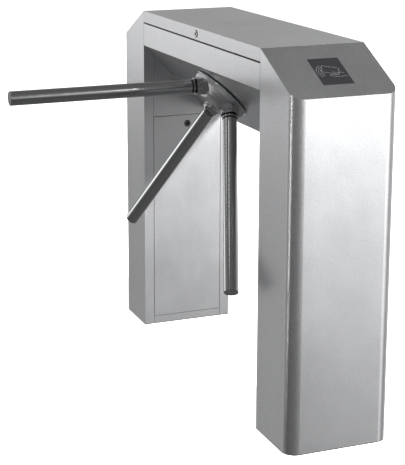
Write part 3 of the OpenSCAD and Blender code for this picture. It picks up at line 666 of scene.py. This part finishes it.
display = on_board(0.046, 0.100) @ Matrix.Rotation(-math.pi / 2, 4, "Z")
DISPLAY_TOP = 0.0090
piece("counter_display", [(block((0.052, 0.022, 0.0080), 0.001), display),
                          (block((0.047, 0.0165, 0.0006), 0.0008), display @ at(0, 0, 0.0084))],
      BLACK, "cabinet", 0.0004)
figures = [(shape, display @ at((place - 2) * DIGIT_STEP, 0, DISPLAY_TOP))
           for place, character in enumerate("00128") for shape in digit(character)]
piece("counter_figures", figures, DIGITS, "cabinet")


# ---------- floor, light and camera ----------

def backdrop(name, mesh, haze_scale, glow, unseen_by):
    """A pale matt part of the studio that glows a little, and is missed by some kinds of ray."""
    shader = Shader("studio_" + name, (0.9, 0.9, 0.9), 0.0, 0.9)
    haze = shader.noise(haze_scale, 2.0)
    shader.tint(shader.spread(haze, 0.0, 1.0), 0.985, 1.0)
    shader.bsdf.inputs["Emission Color"].default_value = (*WHITE, 1.0)
    shader.bsdf.inputs["Emission Strength"].default_value = glow
    obj = add_object(name, mesh)
    for ray in unseen_by:
        setattr(obj, "visible_" + ray, False)
    paint(obj, shader.material)
    return obj


FLOOR_HALF = 60.0
FLOOR_DROP = 0.0005
WALL_PROFILE = [(52.0, -0.01), (55.0, 1.0), (57.0, 4.0), (58.0, 9.0), (58.0, 70.0)]


def build_floor():
    """A white sweep, as an overlit studio floor looks, which keeps out of reflections."""
    mesh = bpy.data.meshes.new("floor")
    corners = [(-FLOOR_HALF, -FLOOR_HALF, 0), (FLOOR_HALF, -FLOOR_HALF, 0), (FLOOR_HALF, FLOOR_HALF, 0),
               (-FLOOR_HALF, FLOOR_HALF, 0)]
    mesh.from_pydata(corners, [], [(0, 1, 2, 3)])
    floor = backdrop("floor", mesh, 0.6, 0.95, ("glossy", "diffuse"))
    floor.location.z = -FLOOR_DROP


def build_wall():
    """The sweep carried up round the floor, for the camera alone, so low views keep a plain background."""
    mesh = bpy.data.meshes.new("wall")
    shape = turned(WALL_PROFILE, 96)
    shape.to_mesh(mesh)
    shape.free()
    wall = backdrop("wall", mesh, 0.1, 1.0, ("glossy", "diffuse", "shadow", "transmission", "volume_scatter"))


# How bright the room is, by place from straight down, 0, to straight up, 1
WORLD_STOPS = ((0.0, 0.12), (0.40, 0.10), (0.47, 0.20), (0.56, 0.50), (0.72, 0.22), (1.0, 0.14))
# Soft bright areas of the room: azimuth, elevation, inner and outer angle in degrees, level
WORLD_LOBES = (
    (29.0, -22.0, 8.0, 30.0, 0.20),
    (42.0, -15.0, 6.0, 26.0, 0.22),
    (300.0, -12.0, 12.0, 44.0, 0.45),
    (224.0, -7.0, 11.0, 19.0, 1.20),
    (224.0, -18.0, 9.0, 17.0, 0.32),
)


def heading(azimuth, elevation):
    """Unit vector towards an azimuth, from +Y towards -X, and an elevation, in degrees."""
    turn, lift = math.radians(azimuth), math.radians(elevation)
    return Vector((-math.sin(turn) * math.cos(lift), math.cos(turn) * math.cos(lift), math.sin(lift)))


def build_world():
    """A dim room with a soft band just above the horizon, and its brighter areas."""
    world = bpy.data.worlds.new("studio")
    world.use_nodes = True
    bpy.context.scene.world = world
    tree = world.node_tree
    coords = tree.nodes.new("ShaderNodeTexCoord").outputs["Generated"]
    split = tree.nodes.new("ShaderNodeSeparateXYZ")
    height = tree.nodes.new("ShaderNodeMapRange")
    height.inputs["From Min"].default_value = -1.0
    ramp = tree.nodes.new("ShaderNodeValToRGB")
    tree.links.new(coords, split.inputs["Vector"])
    tree.links.new(split.outputs["Z"], height.inputs["Value"])
    tree.links.new(height.outputs["Result"], ramp.inputs["Fac"])
    elements = ramp.color_ramp.elements
    while len(elements) < len(WORLD_STOPS):
        elements.new(0.5)
    for element, (place, level) in zip(elements, WORLD_STOPS):
        element.position = place
        element.color = (level, level, level, 1.0)
    total = ramp.outputs["Color"]
    for azimuth, elevation, inner, outer, level in WORLD_LOBES:
        dot = tree.nodes.new("ShaderNodeVectorMath")
        dot.operation = "DOT_PRODUCT"
        dot.inputs[1].default_value = heading(azimuth, elevation)
        tree.links.new(coords, dot.inputs[0])
        glow = tree.nodes.new("ShaderNodeMapRange")
        glow.interpolation_type = "SMOOTHSTEP"
        glow.inputs["From Min"].default_value = math.cos(math.radians(outer))
        glow.inputs["From Max"].default_value = math.cos(math.radians(inner))
        glow.inputs["To Max"].default_value = level
        tree.links.new(dot.outputs["Value"], glow.inputs["Value"])
        add = tree.nodes.new("ShaderNodeVectorMath")
        tree.links.new(total, add.inputs[0])
        tree.links.new(glow.outputs["Result"], add.inputs[1])
        total = add.outputs["Vector"]
    tree.links.new(total, tree.nodes["Background"].inputs["Color"])


def softbox(name, azimuth, elevation, distance, size, power, target=(0.0, 0.0, 0.55)):
    """Area light that faces the target from this heading."""
    way = heading(azimuth, elevation)
    light = bpy.data.lights.new(name, "AREA")
    light.shape = "RECTANGLE"
    light.size, light.size_y = size
    light.energy = power
    obj = add_object(name, light)
    obj.location = Vector(target) + way * distance
    obj.rotation_euler = way.to_track_quat("Z", "Y").to_euler()


def build_camera():
    """The catalogue view: from the passage side and above, with the near leg close by."""
    camera = bpy.data.cameras.new("camera")
    camera.lens = 105.65
    camera.sensor_width = 36.0
    camera.shift_x = 0.105
    camera.shift_y = -0.190
    camera.clip_end = 200.0
    obj = add_object("camera", camera)
    yaw, pitch, roll = math.radians(20.14), math.radians(12.25), math.radians(-0.27)
    aim = Matrix.Rotation(-yaw, 4, "Z") @ Matrix.Rotation(math.pi / 2 - pitch, 4, "X")
    obj.matrix_world = at(-1.504, -3.385, 1.452) @ aim @ Matrix.Rotation(roll, 4, "Z")
    bpy.context.scene.camera = obj


# Name, azimuth, elevation, distance, size, power
SOFTBOXES = (
    ("key_lamp", 209.0, 24.0, 7.0, (1.3, 0.5), 1700.0),
    ("back_box", 34.0, -0.5, 6.0, (3.2, 1.15), 14.5),
    ("side_strip", 87.0, -4.0, 5.0, (0.20, 3.4), 26.0),
    ("arm_strip_left", 65.0, 38.0, 5.0, (0.30, 1.6), 3.0),
    ("arm_strip_right", 112.0, 63.0, 5.0, (0.30, 1.6), 3.0),
)

build_floor()
build_wall()
build_world()
build_camera()
for box in SOFTBOXES:
    softbox(*box)
bpy.context.scene.view_settings.view_transform = "Standard"
